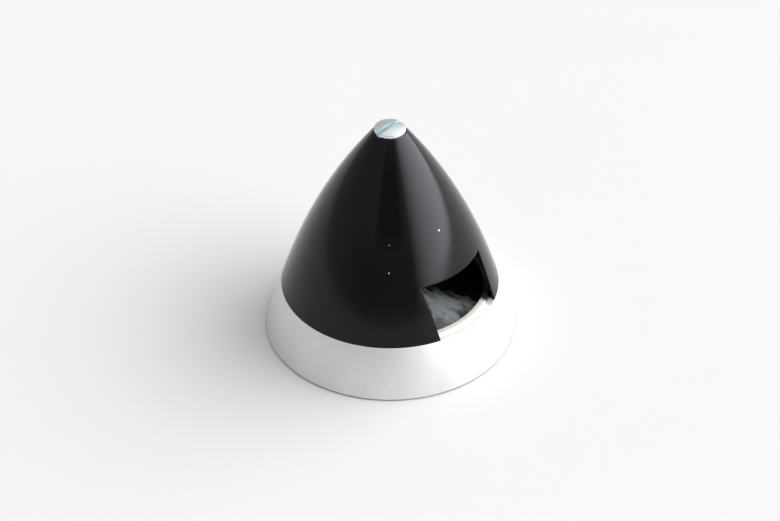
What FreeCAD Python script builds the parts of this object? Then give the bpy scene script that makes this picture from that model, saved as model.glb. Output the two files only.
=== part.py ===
import FreeCAD, Part
import math
import os
import Sketcher

# Two-blade propeller spinner, 60 mm across its backplate.
#
# Frame: millimetres, +Z along the spin axis towards the nose, origin at the centre of the rear rim.
# The blades leave through the cut-outs along +X and -X.
#
# The sheet "Sizes" holds the driving sizes.  The sheet "Worked" holds what follows from them.
# Every piece is a PartDesign body whose sketches and features are bound to those two sheets.

SIZES = [
    # outer form of the spinner
    ("base_dia", "60", "outer diameter at the rear rim"),
    ("flank_angle", "19.1", "slope of the straight flank from the axis, degrees"),
    ("seam_height", "12.2", "height of the joint between backplate and cone"),
    ("flank_height", "16.4", "height where the straight flank passes into the nose curve"),
    ("nose_height", "54.3", "height of the cone's flat front end"),
    ("nose_dia", "7.66", "diameter of the cone's flat front end"),
    # nose cone
    ("cone_wall", "1.6", "wall of the cone, square to its surface"),
    ("nose_solid", "10.3", "length of the solid nose in front of the hollow"),
    ("nose_corner", "1.5", "radius where the hollow meets the solid nose"),
    ("cutout_top", "24.9", "height of the blade cut-out's top edge"),
    ("cutout_top_width", "19.4", "width of the blade cut-out at its top edge"),
    ("cutout_seam_width", "19.5", "width of the blade cut-out at the seam"),
    ("cutout_lean", "0.68", "how far the cut-out's top edge lies to the -Y side of its lower end"),
    # backplate
    ("spigot_rise", "0.5", "height of the spigot above the ledge"),
    ("spigot_width", "1.5", "width of the spigot's top"),
    ("spigot_lead", "0.2", "chamfer on the spigot's outer edge"),
    ("floor_height", "10.2", "height of the face that the propeller is clamped on"),
    ("floor_thick", "3.4", "thickness of the backplate's floor"),
    ("floor_corner", "0.8", "radius between floor and spigot"),
    ("ring_wall", "2.4", "wall of the backplate's skirt, square to its surface"),
    ("rim_chamfer", "0.3", "chamfer on the rear rim"),
    ("hub_dia", "24", "diameter of the boss behind the floor"),
    ("hub_rear", "4.2", "height of the boss's rear face"),
    ("hub_corner", "1.2", "radius between boss, floor and skirt"),
    ("plate_bore", "16", "bore of the backplate"),
    # shaft clamp: hub, collet stud and centring ring
    ("drive_dia", "22", "diameter of the driving flange"),
    ("drive_thick", "2.8", "thickness of the driving flange"),
    ("drive_spigot_dia", "11.6", "diameter of the driving hub's spigot"),
    ("drive_spigot_drop", "0.3", "how far the spigot stays below the floor"),
    ("taper_ratio", "0.1", "change of radius for each millimetre of the collet's taper"),
    ("drive_serrations", "36", "number of driving grooves in the flange's front face"),
    ("serration_depth", "0.35", "depth of a driving groove"),
    ("serration_width", "0.6", "width of a driving groove"),
    ("stud_dia", "8", "thread diameter of the collet stud"),
    ("stud_bottom", "0.8", "height of the stud's rear end"),
    ("stud_top", "36", "height of the stud's front end"),
    ("stud_chamfer", "0.8", "chamfer on the stud's front end"),
    ("stud_shoulder", "0.15", "step between the thread and the small end of the taper"),
    ("shaft_dia", "5", "diameter of the motor shaft that the collet grips"),
    ("shaft_depth", "12", "depth of the shaft bore"),
    ("collet_slot", "0.8", "width of the collet's slots"),
    ("collet_slot_rise", "0.6", "how far the slots run past the taper"),
    # washers and nut on the stud
    ("washer_dia", "15", "diameter of the flat washer"),
    ("washer_thick", "1.6", "thickness of the flat washer"),
    ("spring_dia", "14.4", "diameter of the split spring washer"),
    ("spring_thick", "1.8", "thickness of the split spring washer"),
    ("spring_gap", "1", "opening of the spring washer"),
    ("spring_skew", "20", "lean of the spring washer's opening, degrees"),
    ("nut_flats", "13", "size of the nut across its flats"),
    ("nut_thick", "6.5", "thickness of the nut"),
    ("nut_bevel", "0.5", "height of the bevel on the nut's corners"),
    # nose screw
    ("screw_dia", "4", "thread diameter of the nose screw"),
    ("screw_length", "30", "length of the nose screw from the edge of its head"),
    ("screw_depth_spare", "2.5", "tapped depth below the end of the screw"),
    ("screw_tip", "0.5", "chamfer on the end of the screw"),
    ("head_dia", "7.2", "diameter of the countersunk head"),
    ("head_stand", "0.8", "how far the edge of the head stands above the cone"),
    ("head_edge", "0.9", "height of the head's cylindrical edge"),
    ("head_round", "0.25", "radius round the top of the head's edge"),
    ("head_crown", "0.45", "rise of the head's crown"),
    ("slot_width", "1.2", "width of the screwdriver slot"),
    ("slot_depth", "1.2", "depth of the screwdriver slot below the head's edge"),
    ("screw_turn", "8", "turn of the slot from the Y axis as the screw came to rest, degrees"),
    # fits
    ("cone_fit", "0.03", "radial clearance between the spigot and the cone"),
    ("relief", "0.6", "space above the spigot inside the cone"),
    ("slide_fit", "0.02", "radial clearance of the pieces that slide over each other"),
    ("thread_fit", "0.05", "radial clearance in the threads"),
    ("washer_fit", "0.2", "radial clearance of the washers on the stud"),
    ("screw_fit", "0.25", "radial clearance of the screw in the cone"),
    ("head_fit", "0.04", "radial clearance of the head in its countersink"),
]

FULL_TURN = 360.0
QUARTER_TURN = 90.0
CROSSED_PAIR = 2
NUT_SIDES = 6
COS_30 = math.cos(math.pi / 6)
TURN_AXIS = FreeCAD.Vector(0, 0, 1)
ORIGIN_POINT = (-1, 1)

doc = FreeCAD.newDocument("propeller_spinner")


class Term:
    """A size that carries both its number and the formula that the document keeps."""

    def __init__(self, number, formula):
        self.number = float(number)
        self.formula = formula

    def _join(self, other, sign, number):
        text = other.formula if isinstance(other, Term) else repr(float(other))
        return Term(number, "(%s %s %s)" % (self.formula, sign, text))

    def __add__(self, other):
        return self._join(other, "+", self.number + value(other))

    def __sub__(self, other):
        return self._join(other, "-", self.number - value(other))

    def __mul__(self, other):
        return self._join(other, "*", self.number * value(other))

    def __truediv__(self, other):
        return self._join(other, "/", self.number / value(other))

    def __neg__(self):
        return self * -1.0


def value(size):
    return size.number if isinstance(size, Term) else float(size)


def root(size):
    return Term(math.sqrt(size.number), "sqrt(%s)" % size.formula)


def angle_function(name, size):
    number = getattr(math, name)(math.radians(size.number))
    return Term(number, "%s(%s * 1 deg)" % (name, size.formula))


def make_sheet(name, rows):
    sheet = doc.addObject("Spreadsheet::Sheet", name)
    for index, (alias, text, note) in enumerate(rows, start=1):
        sheet.set("A%d" % index, alias)
        sheet.set("B%d" % index, text)
        sheet.set("C%d" % index, note)
        sheet.setAlias("B%d" % index, alias)
    doc.recompute()
    return sheet


sizes_sheet = make_sheet("Sizes", SIZES)
worked_sheet = make_sheet("Worked", [])
worked_names = []


def size(alias):
    return Term(sizes_sheet.get(alias), "Sizes.%s" % alias)


def worked(alias, term):
    """Keep a worked-out size in its own cell, and return it under its short name."""
    worked_names.append(alias)
    row = len(worked_names)
    worked_sheet.set("A%d" % row, alias)
    worked_sheet.set("B%d" % row, "=" + term.formula)
    worked_sheet.setAlias("B%d" % row, alias)
    return Term(term.number, "Worked.%s" % alias)


# ---------------------------------------------------------------- sketch and feature helpers

def new_body(label):
    body = doc.addObject("PartDesign::Body", label)
    body.Label = label
    return body


def new_sketch(body, name, plane):
    sketch = body.newObject("Sketcher::SketchObject", name)
    for feature in body.Origin.OriginFeatures:
        if feature.Role == plane:
            sketch.AttachmentSupport = [(feature, "")]
    sketch.MapMode = "FlatFace"
    return sketch


def bind(sketch, kind, first, second, amount):
    """Hold one coordinate of a point at a size, or put the point on the axis where that is 0."""
    if not isinstance(amount, Term):
        across = -2 if kind == "DistanceX" else -1
        sketch.addConstraint(Sketcher.Constraint("PointOnObject", *second, across))
        return
    index = sketch.addConstraint(Sketcher.Constraint(kind, *first, *second, amount.number))
    sketch.setExpression("Constraints[%d]" % index, amount.formula)


def arc_between(start, end, radius, bulge):
    """Arc from start to end, bulging to the left (+1) or right (-1) of the way it is walked."""
    a = FreeCAD.Vector(value(start[0]), value(start[1]), 0)
    b = FreeCAD.Vector(value(end[0]), value(end[1]), 0)
    chord = b - a
    left = FreeCAD.Vector(-chord.y, chord.x, 0).normalize()
    height = math.sqrt(max(radius.number ** 2 - (chord.Length / 2) ** 2, 0.0))
    centre = (a + b) / 2 - left * height * bulge
    crown = centre + left * radius.number * bulge
    return Part.Arc(a, crown, b)


def closed_outline(sketch, corners):
    """Draw a closed outline.

    A corner is (x, y), and the side from it to the next corner is straight.  A corner
    (x, y, radius, bulge) starts a curved side.  A coordinate that is the plain number 0 is on an axis.
    """
    ends = []
    for index, corner in enumerate(corners):
        following = corners[(index + 1) % len(corners)]
        start = FreeCAD.Vector(value(corner[0]), value(corner[1]), 0)
        end = FreeCAD.Vector(value(following[0]), value(following[1]), 0)
        if len(corner) == 2:
            side = sketch.addGeometry(Part.LineSegment(start, end))
            ends.append(((side, 1), (side, 2)))
            continue
        side = sketch.addGeometry(arc_between(corner, following, corner[2], corner[3]))
        drawn_from_start = sketch.getPoint(side, 1).distanceToPoint(start) < 1e-6
        ends.append(((side, 1), (side, 2)) if drawn_from_start else ((side, 2), (side, 1)))
    for index, corner in enumerate(corners):
        here = ends[index][0]
        sketch.addConstraint(Sketcher.Constraint("Coincident", *ends[index - 1][1], *here))
        bind(sketch, "DistanceX", ORIGIN_POINT, here, corner[0])
        bind(sketch, "DistanceY", ORIGIN_POINT, here, corner[1])
        if len(corner) == 4:
            radius = sketch.addConstraint(Sketcher.Constraint("Radius", here[0], corner[2].number))
            sketch.setExpression("Constraints[%d]" % radius, corner[2].formula)


def turned(body, name, corners):
    """A solid of revolution about the spin axis."""
    sketch = new_sketch(body, name + "_section", "XZ_Plane")
    closed_outline(sketch, corners)
    feature = body.newObject("PartDesign::Revolution", name)
    feature.Profile = sketch
    feature.ReferenceAxis = (sketch, ["V_Axis"])
    feature.Angle = FULL_TURN
    body.Tip = feature
    doc.recompute()
    return feature


def cut_through(body, name, plane, corners):
    """A pocket through the whole body, both ways from the plane."""
    sketch = new_sketch(body, name + "_outline", plane)
    closed_outline(sketch, corners)
    pocket = body.newObject("PartDesign::Pocket", name)
    pocket.Profile = sketch
    pocket.Type = "ThroughAll"
    pocket.Midplane = True
    body.Tip = pocket
    doc.recompute()
    return pocket


def cut_to_one_side(body, name, plane, corners, length):
    """A pocket of one length, on the positive side of the plane."""
    sketch = new_sketch(body, name + "_outline", plane)
    closed_outline(sketch, corners)
    pocket = body.newObject("PartDesign::Pocket", name)
    pocket.Profile = sketch
    pocket.Type = "Length"
    pocket.setExpression("Length", length.formula)
    pocket.Reversed = True
    body.Tip = pocket
    doc.recompute()
    return pocket


def repeated(body, name, feature, count, sweep):
    """The feature again at even steps about the spin axis."""
    pattern = body.newObject("PartDesign::PolarPattern", name)
    pattern.Originals = [feature]
    pattern.Axis = (feature.Profile[0], ["V_Axis"])
    pattern.Angle = sweep
    if isinstance(count, Term):
        pattern.setExpression("Occurrences", count.formula)
    else:
        pattern.Occurrences = count
    body.Tip = pattern
    doc.recompute()
    return pattern


def circle_edges(shape, places):
    """Names of the circular edges at the given (radius, height) places."""
    names = []
    for index, edge in enumerate(shape.Edges, start=1):
        curve = edge.Curve
        if not isinstance(curve, Part.Circle):
            continue
        for radius, height in places:
            near = abs(curve.Radius - value(radius)) < 1e-3
            if near and abs(curve.Center.z - value(height)) < 1e-3:
                names.append("Edge%d" % index)
    return names


def rounded(body, name, places, radius):
    base = body.Tip
    fillet = body.newObject("PartDesign::Fillet", name)
    fillet.Base = (base, circle_edges(base.Shape, places))
    fillet.setExpression("Radius", radius.formula)
    body.Tip = fillet
    doc.recompute()
    return fillet


# ---------------------------------------------------------------- worked-out sizes
#
# They all come before the first body, because each new cell makes the bodies rebuild.

seam = size("seam_height")
bend = size("flank_height")
wall = size("cone_wall")
floor = size("floor_height")
base_r = worked("base_radius", size("base_dia") / 2)
flank_tan = worked("flank_tangent", angle_function("tan", size("flank_angle")))
flank_cos = worked("flank_cosine", angle_function("cos", size("flank_angle")))
flank_sin = worked("flank_sine", angle_function("sin", size("flank_angle")))
nose_r = worked("nose_radius", size("nose_dia") / 2)


def flank_radius(height):
    """Outer radius of the straight flank at a height."""
    return base_r - height * flank_tan


seam_r = worked("seam_radius", flank_radius(seam))
bend_r = worked("bend_radius", flank_radius(bend))

# The nose curve is one arc that leaves the flank without a corner and ends on the nose.
nose_run_r = worked("nose_run_out", bend_r - nose_r)
nose_run_z = worked("nose_run_up", size("nose_height") - bend)
chord_squared = nose_run_r * nose_run_r + nose_run_z * nose_run_z
inward = nose_run_r * flank_cos - nose_run_z * flank_sin
arc_r = worked("nose_arc_radius", chord_squared / (inward * 2))
arc_centre_r = worked("nose_arc_out", bend_r - arc_r * flank_cos)
arc_centre_z = worked("nose_arc_up", bend - arc_r * flank_sin)

# The cone's mouth drops over the backplate's spigot and stands on the ledge round it.
wall_level = worked("cone_wall_level", wall / flank_cos)
mouth_r = worked("cone_mouth_radius", seam_r - wall_level)
spigot_r = worked("spigot_radius", mouth_r - size("cone_fit"))
spigot_top = worked("spigot_height", seam + size("spigot_rise"))
well_r = worked("well_radius", spigot_r - size("spigot_width"))
relief_top = worked("relief_top", spigot_top + size("relief"))
relief_r = worked("relief_radius", flank_radius(relief_top) - wall_level)

# The skirt of the backplate, and the boss behind its floor.
ceiling = worked("rear_ceiling", floor - size("floor_thick"))
hub_rear = size("hub_rear")
hub_r = worked("hub_radius", size("hub_dia") / 2)
plate_bore_r = worked("plate_bore_radius", size("plate_bore") / 2)
ring_level = worked("ring_wall_level", size("ring_wall") / flank_cos)
skirt_r = worked("skirt_inner_radius", base_r - ring_level)
skirt_top_r = worked("skirt_top_radius", flank_radius(ceiling) - ring_level)

# The hollow of the cone follows its outside at the thickness of the wall.
hollow_top = worked("hollow_top", size("nose_height") - size("nose_solid"))
inner_arc_r = worked("inner_arc_radius", arc_r - wall)
hollow_rise = worked("hollow_rise", hollow_top - arc_centre_z)
hollow_span = root(inner_arc_r * inner_arc_r - hollow_rise * hollow_rise)
hollow_top_r = worked("hollow_top_radius", arc_centre_r + hollow_span)
inner_bend_r = worked("inner_bend_radius", bend_r - wall * flank_cos)
inner_bend_z = worked("inner_bend_height", bend - wall * flank_sin)

# The blade cut-out leans a little, and its sides run on past the mouth of the cone.
cutout_half_top = worked("cutout_top_half", size("cutout_top_width") / 2)
cutout_half_seam = worked("cutout_seam_half", size("cutout_seam_width") / 2)
cutout_shift = worked("cutout_shift", size("cutout_lean") / 2)
cutout_rise = worked("cutout_rise", size("cutout_top") - seam)
cutout_below = worked("cutout_below", seam - wall)
flare_below = (cutout_half_seam - cutout_half_top) / cutout_rise * wall
cutout_half_below = worked("cutout_below_half", cutout_half_seam + flare_below)
cutout_shift_below = worked("cutout_below_shift", cutout_shift + size("cutout_lean") / cutout_rise * wall)

# The nose screw, and the 45 degree countersink that its head seats in.
screw_r = worked("screw_radius", size("screw_dia") / 2)
head_r = worked("head_radius", size("head_dia") / 2)
screw_edge = worked("screw_edge_height", size("nose_height") + size("head_stand"))
screw_end = worked("screw_end_height", screw_edge - size("screw_length"))
edge_bottom = worked("head_edge_bottom", screw_edge - size("head_edge"))
neck = worked("neck_height", edge_bottom - (head_r - screw_r))
crown = size("head_crown")
head_round = size("head_round")
crown_r = worked("crown_radius", head_r - head_round)
crown_arc = worked("crown_arc_radius", (crown_r * crown_r + crown * crown) / (crown * 2))
hole_r = worked("nose_hole_radius", screw_r + size("screw_fit"))
sink_r = worked("sink_radius", head_r + size("head_fit"))
sink_top = worked("sink_top", edge_bottom + size("head_fit"))
sink_bottom = worked("sink_bottom", sink_top - (sink_r - hole_r))

# The collet's taper widens towards the rear, so that the nut draws it tight in the driving hub.
slide = size("slide_fit")
drive_r = worked("drive_radius", size("drive_dia") / 2)
drive_bottom = worked("drive_flange_bottom", hub_rear - size("drive_thick"))
drive_spigot_r = worked("drive_spigot_radius", size("drive_spigot_dia") / 2)
drive_spigot_top = worked("drive_spigot_top", floor - size("drive_spigot_drop"))
stud_r = worked("stud_radius", size("stud_dia") / 2)
stud_bottom = size("stud_bottom")
taper_small_r = worked("taper_small_radius", stud_r + size("stud_shoulder"))


def taper_radius(height):
    """Radius of the collet's taper at a height."""
    return taper_small_r + (drive_spigot_top - height) * size("taper_ratio")


shaft_r = worked("shaft_radius", size("shaft_dia") / 2)
shaft_top = worked("shaft_bore_top", stud_bottom + size("shaft_depth"))
tapped_r = worked("tapped_radius", screw_r + size("thread_fit"))
tapped_bottom = worked("tapped_bottom", screw_end - size("screw_depth_spare"))

# The washers and the nut stand on the floor, one on the other.
washer_r = worked("washer_radius", size("washer_dia") / 2)
washer_bore_r = worked("washer_bore_radius", stud_r + size("washer_fit"))
washer_top = worked("washer_top", floor + size("washer_thick"))
spring_r = worked("spring_radius", size("spring_dia") / 2)
spring_top = worked("spring_top", washer_top + size("spring_thick"))
spring_lean = worked("spring_lean", size("spring_thick") * angle_function("tan", size("spring_skew")))
nut_top = worked("nut_top", spring_top + size("nut_thick"))
nut_flat_r = worked("nut_flat_radius", size("nut_flats") / 2)
nut_corner_r = worked("nut_corner_radius", nut_flat_r / COS_30)
nut_bore_r = worked("nut_bore_radius", stud_r + size("thread_fit"))
doc.recompute()


# ---------------------------------------------------------------- backplate and shaft clamp

def make_backplate():
    body = new_body("backplate")
    chamfer = size("rim_chamfer")
    lead = size("spigot_lead")
    turned(body, "turned_plate", [
        (plate_bore_r, hub_rear),
        (hub_r, hub_rear),
        (hub_r, ceiling),
        (skirt_top_r, ceiling),
        (skirt_r, 0),
        (base_r - chamfer, 0),
        (flank_radius(chamfer), chamfer),
        (seam_r, seam),
        (spigot_r, seam),
        (spigot_r, spigot_top - lead),
        (spigot_r - lead, spigot_top),
        (well_r, spigot_top),
        (well_r, floor),
        (plate_bore_r, floor),
    ])
    rounded(body, "well_corner", [(well_r, floor)], size("floor_corner"))
    rounded(body, "rear_corners", [(hub_r, ceiling), (skirt_top_r, ceiling)], size("hub_corner"))
    return body


def make_centring_ring():
    body = new_body("centring_ring")
    turned(body, "turned_ring", [
        (drive_spigot_r + slide, hub_rear),
        (plate_bore_r - slide, hub_rear),
        (plate_bore_r - slide, floor),
        (drive_spigot_r + slide, floor),
    ])
    return body


def make_drive_hub():
    body = new_body("drive_hub")
    turned(body, "turned_hub", [
        (taper_radius(drive_bottom) + slide, drive_bottom),
        (drive_r, drive_bottom),
        (drive_r, hub_rear),
        (drive_spigot_r, hub_rear),
        (drive_spigot_r, drive_spigot_top),
        (taper_radius(drive_spigot_top) + slide, drive_spigot_top),
    ])
    half = size("serration_width") / 2
    groove = cut_to_one_side(body, "driving_groove", "YZ_Plane", [
        (-half, hub_rear),
        (0, hub_rear - size("serration_depth")),
        (half, hub_rear),
    ], drive_r)
    repeated(body, "driving_grooves", groove, size("drive_serrations"), FULL_TURN)
    return body


def make_collet_stud():
    body = new_body("collet_stud")
    top = size("stud_top")
    chamfer = size("stud_chamfer")
    turned(body, "turned_stud", [
        (shaft_r, stud_bottom),
        (taper_radius(stud_bottom), stud_bottom),
        (taper_radius(drive_spigot_top), drive_spigot_top),
        (stud_r, drive_spigot_top),
        (stud_r, top - chamfer),
        (stud_r - chamfer, top),
        (tapped_r, top),
        (tapped_r, tapped_bottom),
        (0, tapped_bottom),
        (0, shaft_top),
        (shaft_r, shaft_top),
    ])
    half = size("collet_slot") / 2
    slot_top = drive_spigot_top + size("collet_slot_rise")
    slot = cut_through(body, "collet_slot_pair", "XZ_Plane", [
        (-half, stud_bottom - half),
        (half, stud_bottom - half),
        (half, slot_top),
        (-half, slot_top),
    ])
    repeated(body, "collet_slots", slot, CROSSED_PAIR, QUARTER_TURN)
    return body


# ---------------------------------------------------------------- washers and nut

def make_washer():
    body = new_body("prop_washer")
    turned(body, "flat_ring", [
        (washer_bore_r, floor),
        (washer_r, floor),
        (washer_r, washer_top),
        (washer_bore_r, washer_top),
    ])
    return body


def make_spring_washer():
    body = new_body("spring_washer")
    turned(body, "coiled_ring", [
        (washer_bore_r, washer_top),
        (spring_r, washer_top),
        (spring_r, spring_top),
        (washer_bore_r, spring_top),
    ])
    half = size("spring_gap") / 2
    cut_to_one_side(body, "opening", "YZ_Plane", [
        (-half, washer_top),
        (half, washer_top),
        (half + spring_lean, spring_top),
        (spring_lean - half, spring_top),
    ], spring_r * 2)
    return body


def make_nut():
    body = new_body("prop_nut")
    bevel = size("nut_bevel")
    # The blank is turned with both corner bevels, then the six flats are milled on it.
    turned(body, "bevelled_blank", [
        (nut_bore_r, spring_top),
        (nut_flat_r, spring_top),
        (nut_corner_r, spring_top + bevel),
        (nut_corner_r, nut_top - bevel),
        (nut_flat_r, nut_top),
        (nut_bore_r, nut_top),
    ])
    flat = cut_through(body, "flat", "YZ_Plane", [
        (nut_flat_r, spring_top),
        (nut_corner_r + bevel, spring_top),
        (nut_corner_r + bevel, nut_top),
        (nut_flat_r, nut_top),
    ])
    repeated(body, "flats", flat, NUT_SIDES, FULL_TURN)
    return body


# ---------------------------------------------------------------- nose cone and its screw

def make_nose_cone():
    body = new_body("nose_cone")
    turned(body, "turned_shell", [
        (seam_r, seam),
        (bend_r, bend, arc_r, -1),
        (nose_r, size("nose_height")),
        (sink_r, size("nose_height")),
        (sink_r, sink_top),
        (hole_r, sink_bottom),
        (hole_r, hollow_top),
        (hollow_top_r, hollow_top, inner_arc_r, 1),
        (inner_bend_r, inner_bend_z),
        (relief_r, relief_top),
        (mouth_r, relief_top),
        (mouth_r, seam),
    ])
    rounded(body, "hollow_corner", [(hollow_top_r, hollow_top)], size("nose_corner"))
    cut_through(body, "blade_cutouts", "YZ_Plane", [
        (cutout_shift_below - cutout_half_below, cutout_below),
        (cutout_shift_below + cutout_half_below, cutout_below),
        (cutout_half_top - cutout_shift, size("cutout_top")),
        (-cutout_half_top - cutout_shift, size("cutout_top")),
    ])
    return body


def make_nose_screw():
    body = new_body("nose_screw")
    tip = size("screw_tip")
    turned(body, "turned_screw", [
        (0, screw_end),
        (screw_r - tip, screw_end),
        (screw_r, screw_end + tip),
        (screw_r, neck),
        (head_r, edge_bottom),
        (head_r, screw_edge - head_round, head_round, -1),
        (crown_r, screw_edge, crown_arc, -1),
        (0, screw_edge + crown),
    ])
    half = size("slot_width") / 2
    slot_bottom = screw_edge - size("slot_depth")
    slot_over = screw_edge + crown * 2
    cut_through(body, "screwdriver_slot", "XZ_Plane", [
        (-half, slot_bottom),
        (half, slot_bottom),
        (half, slot_over),
        (-half, slot_over),
    ])
    turn = FreeCAD.Rotation(TURN_AXIS, size("screw_turn").number)
    body.Placement = FreeCAD.Placement(FreeCAD.Vector(), turn)
    body.setExpression("Placement.Rotation.Angle", size("screw_turn").formula)
    return body


# ---------------------------------------------------------------- the pieces and their files

pieces = [
    make_backplate(),
    make_centring_ring(),
    make_drive_hub(),
    make_collet_stud(),
    make_washer(),
    make_spring_washer(),
    make_nut(),
    make_nose_cone(),
    make_nose_screw(),
]
doc.recompute()

for item in doc.Objects:
    if "Invalid" in item.State or "Error" in item.State:
        raise RuntimeError("%s did not build: %s" % (item.Name, item.State))

os.makedirs("parts", exist_ok=True)
for piece in pieces:
    shape = piece.Shape
    if shape.isNull() or not shape.isValid():
        raise RuntimeError("%s has no valid solid" % piece.Label)
    shape.exportStep("parts/%s.step" % piece.Label)
    print("%s: %d solid, %.2f mm3" % (piece.Label, len(shape.Solids), shape.Volume))
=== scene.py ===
import math
from contextlib import contextmanager
from itertools import product

import bmesh
import bpy
from mathutils import Matrix, Vector


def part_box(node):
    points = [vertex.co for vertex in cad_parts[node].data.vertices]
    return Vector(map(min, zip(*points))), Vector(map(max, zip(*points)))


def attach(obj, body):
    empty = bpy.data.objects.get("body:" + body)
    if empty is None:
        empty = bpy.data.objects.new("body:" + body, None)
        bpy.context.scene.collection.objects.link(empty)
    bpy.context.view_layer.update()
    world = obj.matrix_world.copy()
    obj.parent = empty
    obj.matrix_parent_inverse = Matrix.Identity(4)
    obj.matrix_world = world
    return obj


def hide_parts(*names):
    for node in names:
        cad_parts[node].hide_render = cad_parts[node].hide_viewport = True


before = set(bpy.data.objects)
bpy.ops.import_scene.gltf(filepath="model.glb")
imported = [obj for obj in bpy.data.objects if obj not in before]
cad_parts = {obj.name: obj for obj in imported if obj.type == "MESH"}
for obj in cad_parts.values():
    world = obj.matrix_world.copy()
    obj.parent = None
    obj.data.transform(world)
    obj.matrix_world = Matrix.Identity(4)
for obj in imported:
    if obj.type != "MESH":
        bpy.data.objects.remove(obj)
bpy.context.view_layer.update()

# Propeller spinner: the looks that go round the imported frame, in metres and in the frame's own axes.
# The spin axis is +Z, and the blades leave through the cut-outs along +X and -X.
# Sections are written in millimetres, and new_piece() turns them into metres.

MM = 0.001
FULL_TURN = 2 * math.pi


# ---------------------------------------------------------------- sizes, in millimetres

def box_mm(node):
    low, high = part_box(node)
    return low / MM, high / MM


plate_low, plate_high = box_mm("backplate")
cone_low, cone_high = box_mm("nose_cone")
screw_low, screw_high = box_mm("nose_screw")
ring_low, ring_high = box_mm("centring_ring")
stud_top = box_mm("collet_stud")[1].z

FLANK_ANGLE = math.radians(19.1)
TAN = math.tan(FLANK_ANGLE)
COS = math.cos(FLANK_ANGLE)
SIN = math.sin(FLANK_ANGLE)
RIM_CHAMFER = 0.3
BASE_R = plate_high.x + RIM_CHAMFER * TAN
SEAM_Z = cone_low.z
BEND_RISE = 4.2
BEND_Z = SEAM_Z + BEND_RISE
NOSE_Z = cone_high.z
NOSE_R = 3.83
NOSE_SOLID = 10.3
CONE_WALL = 1.6
RELIEF = 0.6
HOLLOW_CORNER = 1.5
CUTOUT_HEIGHT = 12.7
CUTOUT_TOP = SEAM_Z + CUTOUT_HEIGHT
CUTOUT_HALF_TOP = 9.7
CUTOUT_HALF_SEAM = 9.75
CUTOUT_SHIFT = 0.34
FLOOR_Z = box_mm("prop_washer")[0].z
SPIGOT_Z = plate_high.z
SPIGOT_WIDTH = 1.5
SPIGOT_FIT = 0.03
RING_FIT = 0.02
FLOOR_THICK = 3.4
SKIRT_WALL = 2.4
BOSS_R = 12.0
BOSS_Z = ring_low.z
HEAD_R = screw_high.x
HEAD_EDGE = 0.9
HEAD_ROUND = 0.25
HEAD_CROWN = 0.45
SLOT_WIDTH = 1.2
SLOT_DEPTH = 1.2
HEAD_FIT = 0.04
HOLE_FIT = 0.25
SCREW_R = 2.0
SCREW_PITCH = 0.7
SCREW_CHAMFER = 0.5
SCREW_PLAIN = 6.0
SCREW_LEAD = 0.4
STUD_R = 4.0
STUD_PITCH = 1.25
STUD_PLAIN = 2.0
STUD_LEAD = 1.0
SCREW_TURN = math.radians(-3)


def flank_radius(z):
    return BASE_R - z * TAN


# The nose curve is one arc that carries on from the straight flank.
BEND_R = flank_radius(BEND_Z)
run_out = BEND_R - NOSE_R
run_up = NOSE_Z - BEND_Z
ARC_R = (run_out ** 2 + run_up ** 2) / (2 * (run_out * COS - run_up * SIN))
ARC_OUT = BEND_R - ARC_R * COS
ARC_UP = BEND_Z - ARC_R * SIN


def skin_radius(z, depth=0.0):
    """Radius at a height of the skin that lies a depth under the spinner's outside."""
    if z <= BEND_Z - depth * SIN:
        return flank_radius(z) - depth / COS
    return ARC_OUT + math.sqrt((ARC_R - depth) ** 2 - (z - ARC_UP) ** 2)


SEAM_R = flank_radius(SEAM_Z)
MOUTH_R = SEAM_R - CONE_WALL / COS
SPIGOT_R = MOUTH_R - SPIGOT_FIT
WELL_R = SPIGOT_R - SPIGOT_WIDTH


# ---------------------------------------------------------------- mesh helpers

@contextmanager
def edited(mesh):
    """The mesh opened for editing."""
    edit = bmesh.new()
    edit.from_mesh(mesh)
    yield edit
    edit.to_mesh(mesh)
    edit.free()


def smooth(piece, sharp=30.0):
    piece.data.shade_smooth()
    piece.data.set_sharp_from_angle(angle=math.radians(sharp))


def new_piece(name, vertices, faces):
    """A mesh object from points in millimetres, smooth but for its sharp edges."""
    mesh = bpy.data.meshes.new(name)
    mesh.from_pydata([(x * MM, y * MM, z * MM) for x, y, z in vertices], [], faces)
    mesh.update()
    piece = bpy.data.objects.new(name, mesh)
    bpy.context.scene.collection.objects.link(piece)
    with edited(mesh) as edit:
        bmesh.ops.recalc_face_normals(edit, faces=edit.faces)
    smooth(piece)
    return piece


def rounded_section(corners, steps=4):
    """A section with its corners rounded.  A corner is (r, z) or (r, z, rounding)."""
    points = []
    for index, corner in enumerate(corners):
        here = Vector(corner[:2])
        if len(corner) == 2:
            points.append(tuple(here))
            continue
        before = (Vector(corners[index - 1][:2]) - here).normalized()
        after = (Vector(corners[(index + 1) % len(corners)][:2]) - here).normalized()
        half = before.angle(after) / 2
        middle = (before + after).normalized()
        reach = corner[2] / math.tan(half)
        centre = here + middle * corner[2] / math.sin(half)
        for step in range(steps + 1):
            share = step / steps
            chord = before * reach * (1 - share) + after * reach * share
            spoke = (here + chord - centre).normalized()
            points.append(tuple(centre + spoke * corner[2]))
    return points


def lathe(name, section, segments):
    """Turn a closed section of (r, z) points about the spin axis."""
    vertices = []
    faces = []
    count = len(section)
    for step in range(segments):
        angle = FULL_TURN * step / segments
        for r, z in section:
            vertices.append((r * math.cos(angle), r * math.sin(angle), z))
    for step in range(segments):
        here = step * count
        there = (step + 1) % segments * count
        for index in range(count):
            following = (index + 1) % count
            faces.append((here + index, there + index, there + following, here + following))
    return new_piece(name, vertices, faces)


def apply_modifiers(piece):
    """Make what the modifiers give the piece's own mesh."""
    graph = bpy.context.evaluated_depsgraph_get()
    mesh = bpy.data.meshes.new_from_object(piece.evaluated_get(graph))
    piece.modifiers.clear()
    piece.data = mesh


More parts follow.
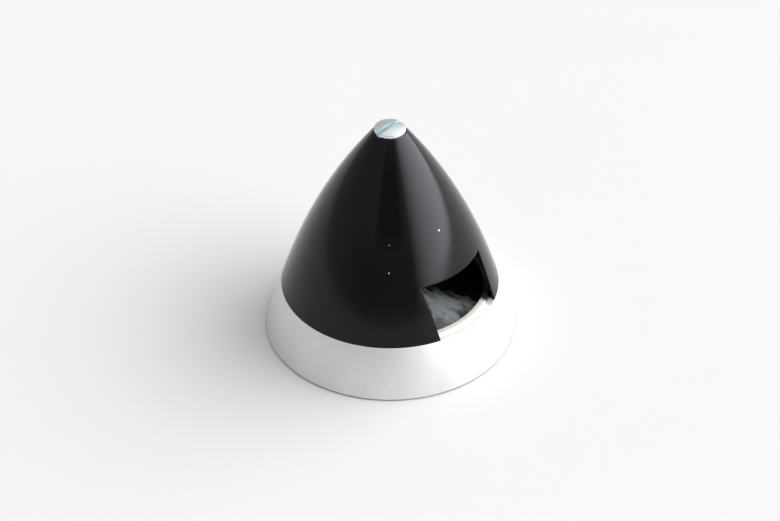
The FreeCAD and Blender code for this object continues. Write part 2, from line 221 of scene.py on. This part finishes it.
def cut(piece, tool):
    """Take the tool's volume out of the piece."""
    modifier = piece.modifiers.new("cut", "BOOLEAN")
    modifier.operation = "DIFFERENCE"
    modifier.solver = "EXACT"
    modifier.object = tool
    bpy.context.view_layer.update()
    apply_modifiers(piece)
    bpy.data.objects.remove(tool)


def ease_edges(piece, width, method="ANGLE"):
    """Break the sharp edges, or those with a WEIGHT, with a narrow round of a width in millimetres."""
    bevel = piece.modifiers.new("ease", "BEVEL")
    bevel.width = width * MM
    bevel.segments = 2
    bevel.limit_method = method
    bevel.angle_limit = math.radians(35.0)
    bpy.context.view_layer.update()
    apply_modifiers(piece)


def block(low, high):
    """A plain cutting block between two corners in millimetres."""
    corners = list(product(*zip(low, high)))
    sides = [(0, 1, 3, 2), (4, 6, 7, 5), (0, 4, 5, 1), (2, 3, 7, 6), (0, 2, 6, 4), (1, 5, 7, 3)]
    return new_piece("cutting_block", corners, sides)


def join_close_points(piece, reach):
    """Merge the points of a mesh that lie within a reach in millimetres."""
    with edited(piece.data) as edit:
        bmesh.ops.remove_doubles(edit, verts=edit.verts, dist=reach * MM)


# The groove's own steps in a turn, and the share of a step by which it starts off the steps of a lathe.
GROOVE_STEPS = 54
GROOVE_START = 0.23


def thread_groove(radius, pitch, low, high):
    """A winding cutting tool with the section of a metric thread's groove, in millimetres."""
    deep = radius - 0.58 * pitch
    out = radius + 0.03 * pitch
    section = [(out, -0.46 * pitch), (deep, -0.07 * pitch), (deep, 0.07 * pitch), (out, 0.46 * pitch)]
    count = int((high - low) / pitch * GROOVE_STEPS)
    vertices = []
    for step in range(count + 1):
        angle = FULL_TURN * (step + GROOVE_START) / GROOVE_STEPS
        middle = low + pitch * step / GROOVE_STEPS
        for r, rise in section:
            vertices.append((r * math.cos(angle), r * math.sin(angle), middle + rise))
    faces = [(3, 2, 1, 0), tuple(4 * count + side for side in range(4))]
    for step in range(count):
        for side in range(4):
            here = 4 * step + side
            there = 4 * step + (side + 1) % 4
            faces.append((here, there, there + 4, here + 4))
    return new_piece("cutting_thread", vertices, faces)


def dress(piece, material, slot, *nodes):
    """Give a piece its material, ride it on the one body and let it stand for its CAD nodes."""
    piece.data.materials.clear()
    piece.data.materials.append(material)
    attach(piece, "root")
    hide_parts(*nodes)


# ---------------------------------------------------------------- shader helpers

class Value:
    """A socket's number.  Sums and products of values add Math nodes."""

    def __init__(self, paint, socket):
        self.paint = paint
        self.socket = socket

    def _math(self, operation, *values):
        return self.paint.node("Math", {"operation": operation}, dict(enumerate(values)))

    def __add__(self, other):
        return self._math("ADD", self, other)

    __radd__ = __add__

    def __sub__(self, other):
        return self._math("SUBTRACT", self, other)

    def __rsub__(self, other):
        return self._math("SUBTRACT", other, self)

    def __mul__(self, other):
        return self._math("MULTIPLY", self, other)

    __rmul__ = __mul__

    def __truediv__(self, other):
        return self._math("DIVIDE", self, other)

    def __pow__(self, other):
        return self._math("POWER", self, other)

    def clamp(self):
        return self.paint.node("Clamp", {}, {0: self})

    def above(self, limit, blur):
        """1 over the limit and 0 under it, with a soft step between."""
        return self.paint.node("MapRange", {"interpolation_type": "SMOOTHSTEP"}, {
            "Value": self, "From Min": limit - blur, "From Max": limit + blur,
        })

    def below(self, limit, blur):
        return 1.0 - self.above(limit, blur)


class Paint:
    """The node tree of one material or of the world."""

    def __init__(self, owner):
        owner.use_nodes = True
        self.tree = owner.node_tree
        self.tree.nodes.clear()

    def node(self, kind, settings, inputs, output=0):
        """Add a node: its settings first, then the values or links of its sockets."""
        made = self.tree.nodes.new("ShaderNode" + kind)
        for name, setting in settings.items():
            setattr(made, name, setting)
        for name, value in inputs.items():
            if isinstance(value, Value):
                self.tree.links.new(value.socket, made.inputs[name])
            else:
                made.inputs[name].default_value = value
        if output is None or not made.outputs:
            return made
        return Value(self, made.outputs[output])

    def where(self, kind="Object"):
        """The place on the piece in metres in the frame's axes, or the direction in the world."""
        return self.node("TexCoord", {}, {}, kind)

    def axes(self):
        split = self.node("SeparateXYZ", {}, {0: self.where()}, None)
        return [Value(self, split.outputs[index]) for index in range(3)]

    def spin_radius(self):
        x, y, _ = self.axes()
        return (x * x + y * y) ** 0.5

    def distance(self, spot):
        """How far in metres the place is from a spot."""
        return self.node("VectorMath", {"operation": "DISTANCE"}, {0: self.where(), 1: spot}, "Value")

    def noise(self, scale, detail=3.0, roughness=0.5, stretch=(1.0, 1.0, 1.0)):
        moved = self.node("VectorMath", {"operation": "MULTIPLY"}, {0: self.where(), 1: stretch})
        return self.node("TexNoise", {}, {
            "Vector": moved, "Scale": scale, "Detail": detail, "Roughness": roughness,
        }, "Fac")

    def line_noise(self, along, scale, detail=2.0):
        """Noise that changes only along one value, as the lines that a turning tool leaves."""
        return self.node("TexNoise", {"noise_dimensions": "1D"}, {
            "W": along, "Scale": scale, "Detail": detail, "Roughness": 0.6,
        }, "Fac")

    def tint(self, share, first, second):
        """A colour that goes from the first to the second as the share goes from 0 to 1."""
        mix = self.node("Mix", {"data_type": "RGBA"}, {0: share}, None)
        for socket, colour in ((6, first), (7, second)):
            if isinstance(colour, Value):
                self.tree.links.new(colour.socket, mix.inputs[socket])
            else:
                mix.inputs[socket].default_value = (*colour, 1.0)
        return Value(self, mix.outputs[2])

    def relief(self, height, depth):
        """A bump of a depth in metres where the height goes from 0 to 1."""
        return self.node("Bump", {}, {"Height": height, "Distance": depth}, "Normal")

    def surface(self, inputs):
        shader = self.node("BsdfPrincipled", {}, inputs)
        self.node("OutputMaterial", {}, {"Surface": shader})


def new_material(name):
    material = bpy.data.materials.new(name)
    return material, Paint(material)


# ---------------------------------------------------------------- finishes

TOOL_LINES = 9000.0
GRAIN = 5200.0
# Specks on the cone: degrees round the axis, height and width in millimetres.
SPECKS = [
    (-5.2, 35.2, 0.42),
    (-48.9, 28.8, 0.26),
    (-48.7, 34.5, 0.16),
    (112.0, 24.0, 0.3),
    (205.0, 33.0, 0.34),
]
# The centre of the painted pool of light in the well, in metres.
PAINTED_LIGHT_SPOT = (14.0 * MM, 2.4 * MM, FLOOR_Z * MM)


def dust(paint):
    """1 on the specks and 0 elsewhere."""
    total = 0.0
    for degrees, height, width in SPECKS:
        angle = math.radians(degrees)
        r = skin_radius(height)
        away = paint.distance((r * math.cos(angle) * MM, r * math.sin(angle) * MM, height * MM))
        total = total + away.below(width * MM / 2, width * MM / 4)
    return total.clamp()


def make_black_anodised():
    """Glossy black with faint smudges, shallow waves and a few pale specks."""
    material, paint = new_material("black_anodised")
    smudge = paint.noise(95.0, 4.0, 0.55)
    haze = paint.noise(28.0, 2.0, 0.5, (1.0, 1.0, 0.5))
    lines = paint.line_noise(paint.axes()[2], GRAIN)
    waves = paint.noise(150.0, 2.0, 0.4, (1.0, 1.0, 0.6))
    specks = dust(paint)
    colour = paint.tint(haze, (0.0010, 0.0009, 0.0013), (0.0024, 0.0022, 0.0030))
    paint.surface({
        "Base Color": paint.tint(specks, colour, (0.75, 0.75, 0.75)),
        "Roughness": (smudge * 0.05 + haze * 0.04 + specks * 0.4 + 0.09).clamp(),
        "IOR": 1.33,
        "Specular Tint": (0.97, 0.94, 1.0, 1.0),
        "Normal": paint.relief(waves + lines * 0.02, 0.000035),
    })
    return material


def make_hub_aluminium():
    """Bright aluminium with the fine lines of the turning tool."""
    material, paint = new_material("hub_aluminium")
    spin = paint.spin_radius()
    lines = paint.line_noise(spin, TOOL_LINES, 3.0)
    cloud = paint.noise(60.0, 3.0)
    paint.surface({
        "Base Color": paint.tint(lines, (0.65, 0.65, 0.66), (0.72, 0.72, 0.72)),
        "Metallic": 1.0,
        "Roughness": (lines * 0.10 + cloud * 0.06 + 0.28).clamp(),
        "Anisotropic": 0.6,
        "Normal": paint.relief(lines, 0.0000035),
    })
    return material


def make_plate_aluminium():
    """Turned aluminium with a stained well and a pale seat, and with painted light and shade: a painted
    shadow over the far part of the well, a painted pool of light and painted shade on its -Y side, a painted
    shadow at one end of the seat and painted contact shade along the lower edge.
    """
    material, paint = new_material("turned_aluminium")
    x, y, z = paint.axes()
    spin = paint.spin_radius()
    lines = paint.line_noise(z + spin, TOOL_LINES, 3.0)
    broad = paint.line_noise(z + spin, TOOL_LINES / 10, 2.0)
    cloud = paint.noise(60.0, 3.0)
    grit = paint.noise(1500.0, 2.0).above(0.68, 0.05)
    streaks = paint.noise(110.0, 3.0, 0.6, (1.0, 1.0, 0.3))
    stain = paint.noise(230.0, 5.0, 0.62, (1.0, 2.2, 1.0))

    # Where each finish and each painted shadow or light lies: 1 on it and 0 elsewhere.
    well = spin.below(WELL_R * MM, 0.0001) * z.above((FLOOR_Z - 0.6) * MM, 0.0003)
    # Painted shadow: beyond a slanted line, the well is painted near black where the cut-out's side would
    # shade it.
    painted_shadow_side = (y * 0.93 - x * 0.37 + (stain - 0.5) * 0.009).above(0.0008, 0.0014)
    dull = well * (1.0 - painted_shadow_side)
    dark = well * painted_shadow_side
    seat = z.above((SEAM_Z - 0.06) * MM, 0.00004) * (1.0 - well)
    ledge = spin.above((SPIGOT_R + 0.1) * MM, 0.0001)
    # Painted shadow: the seat is painted near black where y passes 7.9 mm, at one end of the cut-out where
    # the cone's wall would shade it, and less dark on the outer ledge.
    painted_corner_shadow = seat * y.above(0.0079, 0.0007) * (1.0 - ledge * 0.6)
    # Painted contact shade: the chamfer just above the floor is painted dark.
    painted_contact_shade = z.below(0.34 * MM, 0.0001) * spin.above((BASE_R - 0.4) * MM, 0.00005)

    bright = (lines * 0.3 + broad * 0.2 + streaks.above(0.5, 0.2) * 0.5).clamp()
    # Painted pool of light: the well is painted paler around the spot given above.
    painted_light_pool = paint.distance(PAINTED_LIGHT_SPOT).below(0.0036, 0.0024)
    # The well's stain, painted darker on its -Y side as painted shade and paler by the painted pool of
    # light.
    pale = (stain.above(0.5, 0.13) * (1.0 - y.below(-0.0022, 0.0015) * 0.6) + painted_light_pool * 0.6).clamp()
    well_colour = paint.tint(pale, (0.13, 0.14, 0.14), (0.56, 0.60, 0.62))
    seat_colour = paint.tint(stain, (0.66, 0.69, 0.62), (0.95, 0.97, 0.90))
    colour = paint.tint(bright, (0.68, 0.68, 0.695), (0.785, 0.785, 0.775))
    colour = paint.tint(grit * 0.12, colour, (0.35, 0.35, 0.33))
    colour = paint.tint(dull, colour, well_colour)
    # Painted shadow over the far part of the well.
    colour = paint.tint(dark, colour, (0.02, 0.02, 0.021))
    colour = paint.tint(seat, colour, seat_colour)
    # Painted shadow at one end of the seat.
    colour = paint.tint(painted_corner_shadow, colour, (0.03, 0.03, 0.03))
    # Painted contact shade along the lower edge.
    colour = paint.tint(painted_contact_shade * 0.85, colour, (0.10, 0.10, 0.10))
    paint.surface({
        "Base Color": colour,
        "Metallic": (0.8 - dull * 0.4 - seat * 0.4).clamp(),
        "Roughness": (lines * 0.10 + cloud * 0.06 + dull * 0.26 + seat * 0.2 + 0.38).clamp(),
        "Anisotropic": 0.6,
        "Normal": paint.relief(lines + broad, 0.0000035),
    })
    return material


def make_plain_metal(name, tone, rough):
    """Metal of a plain tone, a little blotched."""
    material, paint = new_material(name)
    cloud = paint.noise(900.0, 3.0)
    grain = paint.noise(GRAIN, 2.0)
    paint.surface({
        "Base Color": paint.tint(cloud, tuple(part * 0.86 for part in tone), tone),
        "Metallic": 1.0,
        "Roughness": (rough + cloud * 0.12).clamp(),
        "Normal": paint.relief(grain, 0.0000008),
    })
    return material


def make_screw_zinc():
    """Bright zinc with a greenish film in the slot."""
    material, paint = new_material("zinc_screw")
    z = paint.axes()[2]
    edge_z = screw_high.z - HEAD_CROWN
    cloud = paint.noise(900.0, 3.0)
    grain = paint.noise(GRAIN, 2.0)
    slot = z.above((edge_z - HEAD_EDGE) * MM, 0.0001) * z.below((edge_z - 0.2) * MM, 0.0002)
    slot = slot * paint.spin_radius().below((HEAD_R - 0.12) * MM, 0.00005)
    colour = paint.tint(cloud, (0.64, 0.72, 0.73), (0.76, 0.82, 0.83))
    paint.surface({
        "Base Color": paint.tint(slot, colour, (0.50, 0.70, 0.71)),
        "Metallic": (1.0 - slot * 0.6).clamp(),
        "Roughness": (cloud * 0.12 + slot * 0.2 + 0.24).clamp(),
        "Normal": paint.relief(grain, 0.0000012),
    })
    return material


black_anodised = make_black_anodised()
turned_aluminium = make_plate_aluminium()
hub_aluminium = make_hub_aluminium()
stud_steel = make_plain_metal("stud_steel", (0.52, 0.52, 0.53), 0.26)
ring_brass = make_plain_metal("ring_brass", (0.78, 0.60, 0.30), 0.24)
washer_steel = make_plain_metal("washer_steel", (0.66, 0.68, 0.70), 0.24)
spring_steel = make_plain_metal("spring_steel", (0.34, 0.35, 0.37), 0.30)
nut_steel = make_plain_metal("nut_steel", (0.64, 0.66, 0.68), 0.22)
zinc_screw = make_screw_zinc()


# ---------------------------------------------------------------- nose cone

def cutout_sides(z):
    """The cut-out's two sides at a height, as places along Y."""
    share = (min(z, CUTOUT_TOP) - SEAM_Z) / (CUTOUT_TOP - SEAM_Z)
    half = CUTOUT_HALF_SEAM + (CUTOUT_HALF_TOP - CUTOUT_HALF_SEAM) * share
    shift = CUTOUT_SHIFT * (1 - 2 * share)
    return shift - half, shift + half


def levels(low, high, count):
    """Even steps from low towards high, without high itself."""
    return [low + (high - low) * step / count for step in range(count)]


# The cone's mesh: columns across and between the cut-outs, and the narrow rows beside their top edge.
ACROSS_CUTOUT = 48
BETWEEN_CUTOUTS = 112
COLUMNS = 2 * (ACROSS_CUTOUT + BETWEEN_CUTOUTS)
EDGE_ROW = 0.3


def ring_of_points(r, z):
    """Points of one level, with columns that follow both sides of each cut-out."""
    reach = max(r, 12.0)
    near, far = [math.asin(max(-0.5, min(0.5, y / reach))) for y in cutout_sides(z)]
    # The far cut-out is the near one seen in the plane X = 0.
    spans = [(near, far), (math.pi - far, math.pi - near)]
    points = []
    for index, (start, end) in enumerate(spans):
        following = spans[index - 1][0] + (FULL_TURN if index else 0)
        points += levels(start, end, ACROSS_CUTOUT)
        points += levels(end, following, BETWEEN_CUTOUTS)
    return [(r * math.cos(angle), r * math.sin(angle), z) for angle in points]


def cone_section():
    """The closed section, up the outside and down the inside, and how many rows the cut-outs cross."""
    relief_z = SPIGOT_Z + RELIEF
    hollow_z = NOSE_Z - NOSE_SOLID
    last_low = CUTOUT_TOP - EDGE_ROW
    low_rows = [SEAM_Z, *levels(SEAM_Z + 0.25, relief_z, 3), relief_z]
    low_rows += [*levels(relief_z + 0.03, last_low, 30), last_low, CUTOUT_TOP]
    high_rows = levels(CUTOUT_TOP + EDGE_ROW, NOSE_Z, 84)
    outside = [(skin_radius(z), z) for z in low_rows + high_rows]
    sink_z = screw_high.z - HEAD_CROWN - HEAD_EDGE
    sink_r = HEAD_R + HEAD_FIT
    hole_r = SCREW_R + HOLE_FIT
    nose = [
        (NOSE_R, NOSE_Z),
        (NOSE_R - 0.03, NOSE_Z + 0.004),
        (sink_r, NOSE_Z),
        (sink_r, sink_z),
        (hole_r, sink_z - (sink_r - hole_r)),
        (hole_r, hollow_z),
    ]
    top_r = skin_radius(hollow_z, CONE_WALL)
    inside = [
        (top_r - HOLLOW_CORNER * 1.4, hollow_z),
        (top_r - HOLLOW_CORNER * 0.55, hollow_z - HOLLOW_CORNER * 0.12),
    ]
    inner_rows = levels(CUTOUT_TOP + EDGE_ROW, hollow_z - HOLLOW_CORNER, 50)
    inside += [(skin_radius(z, CONE_WALL), z) for z in reversed(inner_rows)]
    for z in reversed(low_rows):
        inside.append((MOUTH_R if z <= relief_z else skin_radius(z, CONE_WALL), z))
    return outside + nose + inside, len(low_rows)


def cone_faces(rows, crossed):
    """The faces between rows round the section and columns round the axis, less the cut-outs."""
    half_way = COLUMNS // 2

    def point(row, column):
        return row % rows * COLUMNS + column % COLUMNS

    def across(row, mate, column):
        return point(row, column), point(row, column + 1), point(mate, column + 1), point(mate, column)

    faces = []
    for row in range(rows):
        cut_row = row < crossed - 1 or row >= rows - crossed
        for column in range(COLUMNS):
            if not (cut_row and column % half_way < ACROSS_CUTOUT):
                faces.append(across(row, row + 1, column))
    # The sides and the top of each cut-out join the outside to the inside.
    for start in (0, half_way):
        for side in (start, start + ACROSS_CUTOUT):
            for row in range(crossed - 1):
                mate = rows - 1 - row
                corners = ((row, side), (row + 1, side), (mate - 1, side), (mate, side))
                faces.append(tuple(point(*corner) for corner in corners))
        for column in range(start, start + ACROSS_CUTOUT):
            faces.append(across(crossed - 1, rows - crossed, column))
    return faces


def mark_edges_below(piece, height, sharp):
    """Mark for easing the edges sharper than an angle, up to a height in millimetres."""
    with edited(piece.data) as edit:
        layer = edit.edges.layers.float.new("bevel_weight_edge")
        for edge in edit.edges:
            is_low = max(vertex.co.z for vertex in edge.verts) < height * MM
            if is_low and len(edge.link_faces) == 2 and edge.calc_face_angle() > math.radians(sharp):
                edge[layer] = 1.0


def make_nose_cone():
    section, crossed = cone_section()
    vertices = []
    for r, z in section:
        vertices += ring_of_points(r, z)
    piece = new_piece("nose_cone_shell", vertices, cone_faces(len(section), crossed))
    with edited(piece.data) as edit:
        loose = [vertex for vertex in edit.verts if not vertex.link_faces]
        bmesh.ops.delete(edit, geom=loose, context="VERTS")
    mark_edges_below(piece, CUTOUT_TOP + 0.1, 40)
    ease_edges(piece, 0.1, "WEIGHT")
    smooth(piece, 32)
    return piece


dress(make_nose_cone(), black_anodised, "black_anodised", "nose_cone")


# ---------------------------------------------------------------- backplate

PLATE_STEPS = 360


def make_backplate():
    ceiling = FLOOR_Z - FLOOR_THICK
    skirt_level = SKIRT_WALL / COS
    bore_r = ring_high.x + RING_FIT
    return lathe("backplate_turned", rounded_section([
        (bore_r, BOSS_Z, 0.15),
        (BOSS_R, BOSS_Z, 0.3),
        (BOSS_R, ceiling, 1.2),
        (flank_radius(ceiling) - skirt_level, ceiling, 1.2),
        (BASE_R - skirt_level, plate_low.z, 0.2),
        (BASE_R - RIM_CHAMFER, plate_low.z, 0.06),
        (flank_radius(RIM_CHAMFER), RIM_CHAMFER, 0.12),
        (SEAM_R, SEAM_Z, 0.12),
        (SPIGOT_R, SEAM_Z, 0.05),
        (SPIGOT_R, SPIGOT_Z, 0.18),
        (WELL_R, SPIGOT_Z, 0.12),
        (WELL_R, FLOOR_Z, 0.8),
        (bore_r, FLOOR_Z, 0.1),
    ]), PLATE_STEPS)


dress(make_backplate(), turned_aluminium, "turned_aluminium", "backplate")


# ---------------------------------------------------------------- nose screw

# The screw's section stops just short of the axis.
AXIS_GAP = 0.02
# With this many steps round the axis, the cut screw stays a closed mesh.
SCREW_STEPS = 126


def make_nose_screw():
    edge_z = screw_high.z - HEAD_CROWN
    under_z = edge_z - HEAD_EDGE
    neck_z = under_z - (HEAD_R - SCREW_R)
    crown_r = HEAD_R - HEAD_ROUND
    ball_r = (crown_r ** 2 + HEAD_CROWN ** 2) / (2 * HEAD_CROWN)
    rounding = []
    for turn in levels(0.0, math.pi / 2, 6)[1:]:
        round_z = edge_z - HEAD_ROUND + HEAD_ROUND * math.sin(turn)
        rounding.append((crown_r + HEAD_ROUND * math.cos(turn), round_z))
    crown = []
    for r in levels(crown_r, AXIS_GAP, 24):
        crown.append((r, screw_high.z - ball_r + math.sqrt(ball_r ** 2 - r ** 2)))
    section = rounded_section([
        (AXIS_GAP, screw_low.z),
        (SCREW_R - SCREW_CHAMFER, screw_low.z),
        (SCREW_R, screw_low.z + SCREW_CHAMFER),
        (SCREW_R, neck_z),
        (HEAD_R, under_z, 0.05),
        (HEAD_R, edge_z - HEAD_ROUND),
        *rounding,
        *crown,
    ])
    piece = lathe("nose_screw_turned", section, SCREW_STEPS)
    half = SLOT_WIDTH / 2
    cut(piece, block((-half, -2 * HEAD_R, edge_z - SLOT_DEPTH), (half, 2 * HEAD_R, edge_z + 1)))
    ease_edges(piece, 0.05)
    cut(piece, thread_groove(SCREW_R, SCREW_PITCH, screw_low.z - SCREW_LEAD, neck_z - SCREW_PLAIN))
    smooth(piece)
    piece.data.transform(Matrix.Rotation(SCREW_TURN, 4, "Z"))
    return piece


dress(make_nose_screw(), zinc_screw, "zinc_plated_screw", "nose_screw")


# ---------------------------------------------------------------- collet stud

def make_stud():
    """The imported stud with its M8 thread cut."""
    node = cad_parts["collet_stud"]
    mesh = node.data.copy()
    mesh.transform(node.matrix_world)
    piece = bpy.data.objects.new("collet_stud_threaded", mesh)
    bpy.context.scene.collection.objects.link(piece)
    join_close_points(piece, 0.002)
    cut(piece, thread_groove(STUD_R, STUD_PITCH, FLOOR_Z + STUD_PLAIN, stud_top + STUD_LEAD))
    smooth(piece)
    return piece


dress(make_stud(), stud_steel, "stud_steel", "collet_stud")


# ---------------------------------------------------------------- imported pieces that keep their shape

for node, material in {
    "drive_hub": hub_aluminium,
    "centring_ring": ring_brass,
    "prop_washer": washer_steel,
    "spring_washer": spring_steel,
    "prop_nut": nut_steel,
}.items():
    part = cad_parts[node]
    part.data.materials.clear()
    part.data.materials.append(material)


# ---------------------------------------------------------------- floor, light and camera

# Distances here are in metres.
VIEW_TURN = math.radians(48.2)
VIEW_TILT = math.radians(37.78)
VIEW_RANGE = 15 * BASE_R * MM
AIM = Vector((0, 0, 0.5819 * BASE_R * MM))
FLOOR_HALF = 2.0
KEY_LEVEL = 6.2
KEY_TINT = (0.99, 0.98, 1.015)
TOP_LEVEL = 0.4
ROOM_LEVEL = 0.5


def from_view(right, back, up):
    """A direction given as the camera sees it, in the frame's axes."""
    return Vector((
        right * math.sin(VIEW_TURN) - back * math.cos(VIEW_TURN),
        right * math.cos(VIEW_TURN) + back * math.sin(VIEW_TURN),
        up,
    ))


def look_from(thing, place, target):
    thing.location = place
    thing.rotation_euler = (target - place).to_track_quat("-Z", "Y").to_euler()


def make_floor():
    material, paint = new_material("pale_floor")
    cloud = paint.noise(3.0, 2.0)
    paint.surface({
        "Base Color": paint.tint(cloud, (0.598, 0.598, 0.600), (0.610, 0.610, 0.612)),
        "Roughness": (0.6 + cloud * 0.1).clamp(),
        "Specular IOR Level": 0.15,
    })
    half = FLOOR_HALF
    corners = [(-half, -half, 0), (half, -half, 0), (half, half, 0), (-half, half, 0)]
    mesh = bpy.data.meshes.new("floor")
    mesh.from_pydata(corners, [], [(0, 1, 2, 3)])
    floor = bpy.data.objects.new("floor", mesh)
    bpy.context.scene.collection.objects.link(floor)
    floor.data.materials.append(material)


def make_sky():
    """A dim studio with one large soft box on the right, and weaker light overhead and behind.

    It is darker where the viewer stands and low down in front.
    """
    world = bpy.data.worlds.new("studio")
    bpy.context.scene.world = world
    sky = Paint(world)
    way = sky.where("Generated")

    def towards(direction):
        return sky.node("VectorMath", {"operation": "DOT_PRODUCT"}, {0: way, 1: tuple(direction)}, "Value")

    right = towards(from_view(1, 0, 0))
    front = towards(from_view(0, -1, 0))
    up = towards((0, 0, 1))
    level = (right * right + front * front + 0.0001) ** 0.5
    rightward = right / level
    frontward = front / level

    edge = frontward.above(-0.1, 0.4) * 0.12 + 0.38
    height = up.above(0.03, 0.05) * up.below(0.74, 0.1)
    soft_box = ((rightward - edge) / (1.0 - edge)).clamp() * height * KEY_LEVEL
    overhead = up.above(0.68, 0.18) * TOP_LEVEL
    viewer = frontward.above(0.93, 0.03) * up.above(0.3, 0.05) * up.below(0.64, 0.08)
    behind = frontward.below(-0.35, 0.4) * up.above(0.3, 0.15) * (rightward * 0.7 + 0.12).clamp()
    low_front = frontward.above(0.6, 0.3) * up.below(0.28, 0.12)
    plain = (overhead + behind + ROOM_LEVEL) * (1.0 - viewer * 0.65) * (1.0 - low_front * 0.45)
    tint = sky.tint((soft_box / KEY_LEVEL).clamp(), (1.0, 1.0, 1.0), KEY_TINT)
    glow = sky.node("Background", {}, {"Color": tint, "Strength": plain + soft_box}, "Background")
    sky.node("OutputWorld", {}, {"Surface": glow})


make_floor()
make_sky()

camera_data = bpy.data.cameras.new("camera")
camera_data.sensor_width = 36.0
camera_data.lens = 88.3
camera_data.dof.use_dof = False
camera = bpy.data.objects.new("camera", camera_data)
bpy.context.scene.collection.objects.link(camera)
bpy.context.scene.camera = camera
look_from(camera, AIM + from_view(0, -math.cos(VIEW_TILT), math.sin(VIEW_TILT)) * VIEW_RANGE, AIM)

bpy.context.scene.view_settings.view_transform = "Standard"
